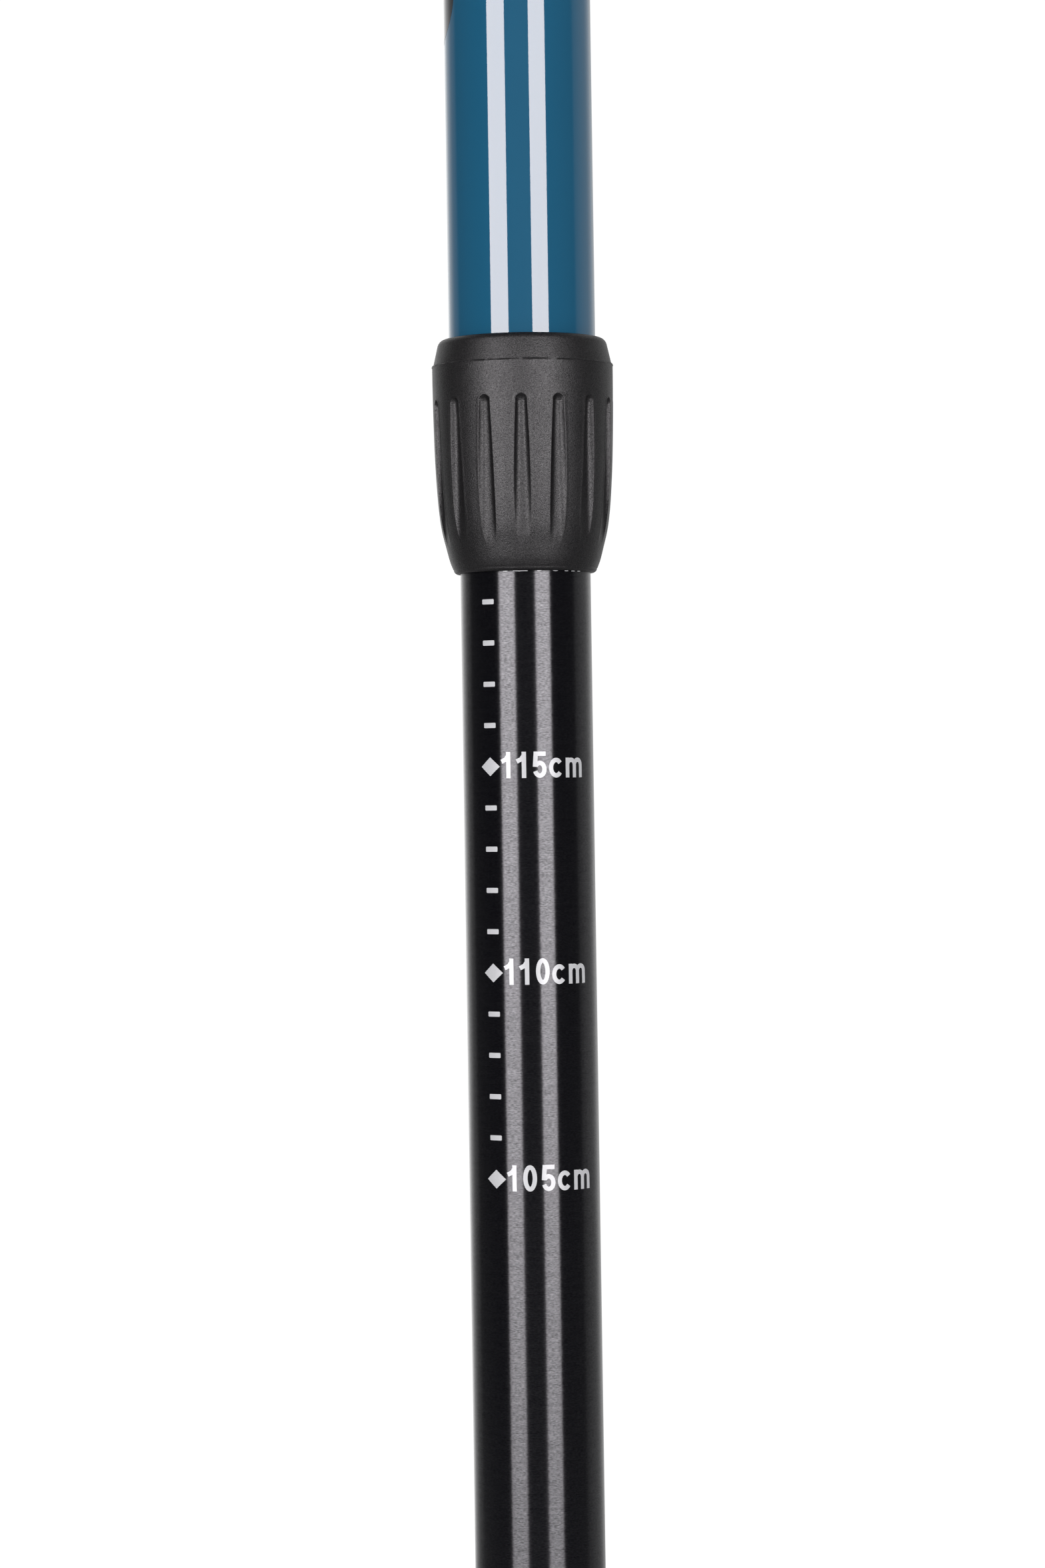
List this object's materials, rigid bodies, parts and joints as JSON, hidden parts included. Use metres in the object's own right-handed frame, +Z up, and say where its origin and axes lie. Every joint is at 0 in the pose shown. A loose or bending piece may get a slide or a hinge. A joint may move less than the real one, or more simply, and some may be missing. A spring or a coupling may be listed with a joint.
{
  "type": "telescopic trekking pole",
  "caption": "Telescopic walking pole: moulded grip with wrist loop, gloss blue upper tube, ribbed twist-lock collars, black scaled tubes, disc basket and hard point.",
  "frame": {"origin": "on the pole axis in the middle of the hand hold", "axes": "+Z up the pole axis towards the grip, -Y the side that carries the length scale, +X the finger side of the grip"},
  "size_m": [0.0948, 0.054, 1.1987],
  "materials": {
    "grip_rubber": "fine-grained moulded rubber",
    "cap_plastic": "hard plastic, fine spark-eroded grain",
    "strap_webbing": "woven webbing, sewn neck",
    "upper_lacquer": "gloss blue lacquer over aluminium tube",
    "collar_plastic": "moulded plastic, fine spark-eroded grain",
    "expander_plastic": "natural nylon",
    "nut_plastic": "red acetal",
    "black_anodised": "satin black anodised tube with printed scale",
    "plug_plastic": "glass-filled nylon",
    "screw_steel": "zinc plated steel",
    "ferrule_plastic": "moulded plastic",
    "tip_steel": "turned steel",
    "carbide": "sintered carbide, ground hollow",
    "basket_plastic": "moulded plastic"
  },
  "bodies": {
    "handle_section": {"grip_body": "grip_rubber", "grip_cap": "cap_plastic", "strap_pin": "screw_steel", "upper_tube": "upper_lacquer", "upper_collar": "collar_plastic"},
    "strap": {"wrist_strap": "strap_webbing"},
    "upper_lock": {"upper_expander": "expander_plastic"},
    "upper_nut": {"upper_cone_nut": "nut_plastic"},
    "middle_section": {"upper_spindle": "screw_steel", "upper_spindle_stop": "screw_steel", "upper_plug": "plug_plastic", "middle_tube": "black_anodised", "lower_collar": "collar_plastic"},
    "lower_lock": {"lower_expander": "expander_plastic"},
    "lower_nut": {"lower_cone_nut": "nut_plastic"},
    "lower_section": {"lower_spindle": "screw_steel", "lower_spindle_stop": "screw_steel", "lower_plug": "plug_plastic", "lower_tube": "black_anodised", "ferrule": "ferrule_plastic", "tip_holder": "tip_steel", "carbide_tip": "carbide"},
    "snow_basket": {"basket": "basket_plastic"}
  },
  "joints": [
    {"name": "strap_swing", "type": "hinge", "parent": "handle_section", "child": "strap", "pos_m": [-0.013, 0, 0.05], "axis": [0, 1, 0], "range_deg": [0, 70]},
    {"name": "middle_slide", "type": "slide", "parent": "handle_section", "child": "upper_lock", "axis": [0, 0, -1], "range_m": [-0.2957, 0.0763]},
    {"name": "middle_twist", "type": "hinge", "parent": "upper_lock", "child": "middle_section", "pos_m": [0, 0, -0.343], "axis": [0, 0, 1], "range_deg": [-540, 0]},
    {"name": "upper_nut_travel", "type": "slide", "parent": "upper_lock", "child": "upper_nut", "axis": [0, 0, 1], "range_m": [0, 0.0023]},
    {"name": "lower_slide", "type": "slide", "parent": "middle_section", "child": "lower_lock", "axis": [0, 0, -1], "range_m": [-0.251, 0.075]},
    {"name": "lower_twist", "type": "hinge", "parent": "lower_lock", "child": "lower_section", "pos_m": [0, 0, -0.6717], "axis": [0, 0, 1], "range_deg": [-540, 0]},
    {"name": "lower_nut_travel", "type": "slide", "parent": "lower_lock", "child": "lower_nut", "axis": [0, 0, 1], "range_m": [0, 0.0023]},
    {"name": "basket_turn", "type": "hinge", "parent": "lower_section", "child": "snow_basket", "pos_m": [0, 0, -1.0782], "axis": [0, 0, 1], "continuous": true}
  ],
  "couplings": [
    {"joint": "upper_nut_travel", "follows": "middle_twist", "m_per_rad": -0.00023873},
    {"joint": "lower_nut_travel", "follows": "lower_twist", "m_per_rad": -0.00023873}
  ]
}
